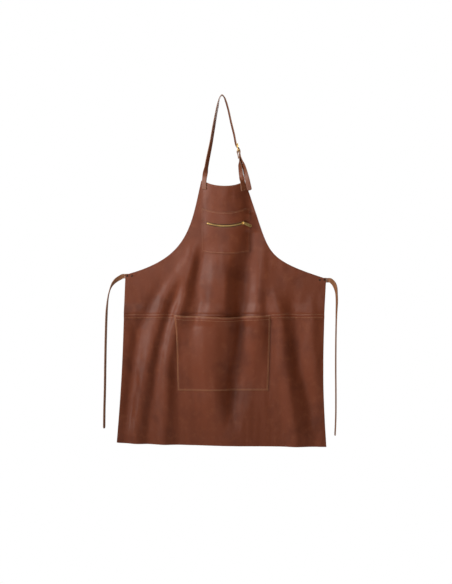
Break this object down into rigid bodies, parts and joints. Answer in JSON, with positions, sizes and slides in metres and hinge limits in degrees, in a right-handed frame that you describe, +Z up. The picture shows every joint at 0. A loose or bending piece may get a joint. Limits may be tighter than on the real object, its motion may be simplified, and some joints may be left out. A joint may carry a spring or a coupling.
{
  "type": "welding apron",
  "caption": "Leather bib apron for welding and metal work, hung by its buckled neck strap, with a front patch pocket, a zipped chest pocket and two riveted waist ties.",
  "frame": {"origin": "underside of the neck strap's crown, at the middle of the strap's width, where a peg or nail carries the apron", "axes": "+Z up, front of the apron towards -Y, +X to the right as the front is seen"},
  "size_m": [0.7456, 0.0495, 1.1186],
  "materials": {
    "apron_leather": "semi-gloss smooth hide",
    "strap_leather": "semi-gloss smooth hide, raw cut edges",
    "zip_tape": "woven tape, matt",
    "zip_brass": "polished",
    "buckle_brass": "polished",
    "rivet_metal": "dark antique"
  },
  "bodies": {
    "apron": {"bib_panel": "apron_leather", "skirt_panel": "apron_leather", "front_pocket": "apron_leather", "chest_band": "apron_leather", "chest_panel": "apron_leather", "zip_tape_upper": "zip_tape", "zip_tape_lower": "zip_tape", "zip_teeth_upper": "zip_brass", "zip_teeth_lower": "zip_brass", "neck_strap": "strap_leather", "buckle_strap": "strap_leather", "buckle_frame": "buckle_brass", "tie_root_left": "strap_leather", "rivet_left_outer": "rivet_metal", "rivet_left_inner": "rivet_metal", "tie_root_right": "strap_leather", "rivet_right_outer": "rivet_metal", "rivet_right_inner": "rivet_metal"},
    "slider": {"zip_slider": "zip_brass"},
    "pull": {"zip_pull": "zip_brass"},
    "tongue": {"buckle_tongue": "buckle_brass"},
    "tie_left_free": {"tie_left": "strap_leather"},
    "tie_right_free": {"tie_right": "strap_leather"}
  },
  "joints": [
    {"name": "zip_slider_travel", "type": "hinge", "parent": "apron", "child": "slider", "pos_m": [0.009, 0.0733, -0.34125], "axis": [0, 0.6402, -0.7682], "range_deg": [0, 54]},
    {"name": "zip_pull_flip", "type": "hinge", "parent": "slider", "child": "pull", "pos_m": [0.06903, -0.01193, -0.40455], "axis": [-0.3228, -0.1404, -0.936], "range_deg": [0, 150]},
    {"name": "buckle_tongue_lift", "type": "hinge", "parent": "apron", "child": "tongue", "pos_m": [0.05092, -0.0005, -0.17787], "axis": [0, 1, 0], "range_deg": [0, 4]},
    {"name": "tie_left_swing", "type": "hinge", "parent": "apron", "child": "tie_left_free", "pos_m": [-0.309, 0.0124, -0.57296], "axis": [1, 0, 0], "range_deg": [-25, 25]},
    {"name": "tie_right_swing", "type": "hinge", "parent": "apron", "child": "tie_right_free", "pos_m": [0.333, 0.0124, -0.58568], "axis": [1, 0, 0], "range_deg": [-25, 25]}
  ]
}
